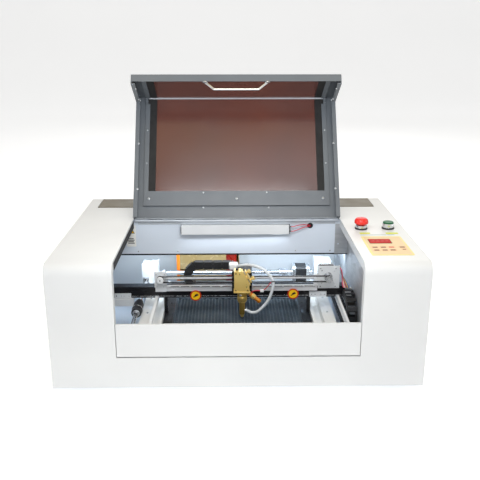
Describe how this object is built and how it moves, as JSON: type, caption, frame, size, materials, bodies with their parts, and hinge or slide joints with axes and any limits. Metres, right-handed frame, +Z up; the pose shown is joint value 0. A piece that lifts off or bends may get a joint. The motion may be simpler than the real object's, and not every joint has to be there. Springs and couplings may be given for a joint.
{
  "type": "desktop laser cutter",
  "caption": "Desktop laser cutter: sheet-steel body with a hinged windowed lid, moving gantry and lens head over a honeycomb bed.",
  "frame": {"origin": "centre of the footprint, from the front face to the end of the exhaust spigot, on the floor under the feet", "axes": "+X to the operator's right, +Y from the front face to the rear panel, +Z up"},
  "size_m": [0.8, 0.578, 0.6426],
  "materials": {
    "painted_white": "satin",
    "inner_blue_white": "satin",
    "galvanised": "satin",
    "slate_paint": "satin",
    "cover_paint": "satin",
    "tinted_acrylic": "polished",
    "bright_steel": "polished",
    "rail_aluminium": "anodised",
    "bracket_white": "satin",
    "black_anodised": "anodised",
    "motor_black": "satin",
    "brass": "polished",
    "pointer_orange": "anodised",
    "black_plastic": "moulded",
    "belt_rubber": "matte",
    "belt_white": "matte",
    "hose_white": "smooth",
    "lamp_lead": "smooth",
    "motor_lead": "smooth",
    "amber_duct": "gloss",
    "laser_glass": "polished",
    "saddle_nylon": "smooth",
    "board_green": "satin",
    "bed_dark": "satin",
    "comb_steel": "matte",
    "panel_film": "satin",
    "bezel_metal": "polished",
    "estop_red": "gloss",
    "start_green": "gloss"
  },
  "bodies": {
    "root": {"base_pan": "painted_white", "left_housing": "painted_white", "right_housing": "painted_white", "front_panel": "painted_white", "rear_panel": "painted_white", "tube_bay_panel": "inner_blue_white", "electronics_partition": "galvanised", "rubber_feet": "belt_rubber", "piano_hinges": "bright_steel", "panel_overlay": "panel_film", "button_bezels": "bezel_metal", "lamp_housing": "bracket_white", "lamp_wires": "lamp_lead", "exhaust_duct": "amber_duct", "exhaust_spigot": "black_plastic", "laser_tube": "laser_glass", "tube_saddles": "saddle_nylon", "first_mirror": "brass", "power_supply": "galvanised", "control_board": "board_green", "mains_inlet": "black_plastic", "bed_frame": "bed_dark", "honeycomb": "comb_steel", "y_rails": "rail_aluminium", "guide_rod": "bright_steel", "rear_brackets": "bracket_white", "y_motor": "motor_black", "y_belts": "belt_white"},
    "lid": {"lid_shell": "slate_paint", "lid_hinge_leaf": "bright_steel", "lid_frame": "slate_paint", "lid_window": "tinted_acrylic", "lid_front_window": "tinted_acrylic", "lid_handle": "bright_steel"},
    "rear_cover": {"rear_cover": "cover_paint"},
    "front_flap": {"front_flap": "painted_white"},
    "estop": {"estop_button": "estop_red"},
    "start": {"start_button": "start_green"},
    "rocker": {"rocker_switch": "black_plastic"},
    "fan": {"fan_rotor": "black_plastic"},
    "cross_shaft": {"cross_shaft": "bright_steel"},
    "y_idlers": {"y_idlers": "rail_aluminium"},
    "gantry": {"gantry_beam": "black_anodised", "x_rail": "bright_steel", "gantry_brackets": "bracket_white", "x_motor": "motor_black", "x_belt": "belt_rubber", "linear_bearing": "black_anodised", "second_mirror": "brass", "x_chain": "black_plastic", "y_chain": "black_plastic", "stepper_leads": "motor_lead"},
    "x_pulley": {"x_pulley": "rail_aluminium"},
    "idler_pulley": {"idler_pulley": "rail_aluminium"},
    "carriage": {"carriage": "black_anodised", "head_block": "brass", "lens_tube": "brass", "red_dot_pointer": "pointer_orange", "pointer_leads": "motor_lead", "air_hose": "hose_white"}
  },
  "joints": [
    {"name": "lid_hinge", "type": "hinge", "parent": "root", "child": "lid", "pos_m": [0, 0.046, 0.29], "axis": [1, 0, 0], "range_deg": [0, 121]},
    {"name": "cover_hinge", "type": "hinge", "parent": "root", "child": "rear_cover", "pos_m": [0, 0.172, 0.288], "axis": [1, 0, 0], "range_deg": [0, 80]},
    {"name": "flap_hinge", "type": "hinge", "parent": "root", "child": "front_flap", "pos_m": [0, -0.285, 0.088], "axis": [1, 0, 0], "range_deg": [0, 90]},
    {"name": "estop_press", "type": "slide", "parent": "root", "child": "estop", "axis": [0, 0, -1], "range_m": [0, 0.004], "stiffness_N_per_m": 900},
    {"name": "start_press", "type": "slide", "parent": "root", "child": "start", "axis": [0, 0, -1], "range_m": [0, 0.0025], "stiffness_N_per_m": 700},
    {"name": "rocker_tip", "type": "hinge", "parent": "root", "child": "rocker", "pos_m": [0.362, 0.259, 0.062], "axis": [1, 0, 0], "range_deg": [-16, 0]},
    {"name": "fan_spin", "type": "hinge", "parent": "root", "child": "fan", "pos_m": [-0.077, 0.251, 0.137], "axis": [0, 1, 0], "continuous": true},
    {"name": "gantry_slide", "type": "slide", "parent": "root", "child": "gantry", "axis": [0, 1, 0], "range_m": [-0.135, 0.055], "deforming": ["y_chain"]},
    {"name": "carriage_slide", "type": "slide", "parent": "gantry", "child": "carriage", "axis": [1, 0, 0], "range_m": [-0.15, 0.15], "deforming": ["x_chain"]},
    {"name": "x_pulley_spin", "type": "hinge", "parent": "gantry", "child": "x_pulley", "pos_m": [0.22, -0.068, 0.176], "axis": [0, 1, 0], "range_deg": [-1356, 1356]},
    {"name": "idler_spin", "type": "hinge", "parent": "gantry", "child": "idler_pulley", "pos_m": [-0.185, -0.068, 0.176], "axis": [0, 1, 0], "range_deg": [-1356, 1356]},
    {"name": "cross_shaft_spin", "type": "hinge", "parent": "root", "child": "cross_shaft", "pos_m": [0, 0.136, 0.118], "axis": [1, 0, 0], "range_deg": [-498, 1220]},
    {"name": "y_idler_spin", "type": "hinge", "parent": "root", "child": "y_idlers", "pos_m": [0, -0.249, 0.118], "axis": [1, 0, 0], "range_deg": [-498, 1220]}
  ],
  "couplings": [
    {"joint": "x_pulley_spin", "follows": "carriage_slide", "rad_per_m": -157.48},
    {"joint": "idler_spin", "follows": "carriage_slide", "rad_per_m": -157.48},
    {"joint": "cross_shaft_spin", "follows": "gantry_slide", "rad_per_m": -157.48},
    {"joint": "y_idler_spin", "follows": "gantry_slide", "rad_per_m": -157.48}
  ]
}
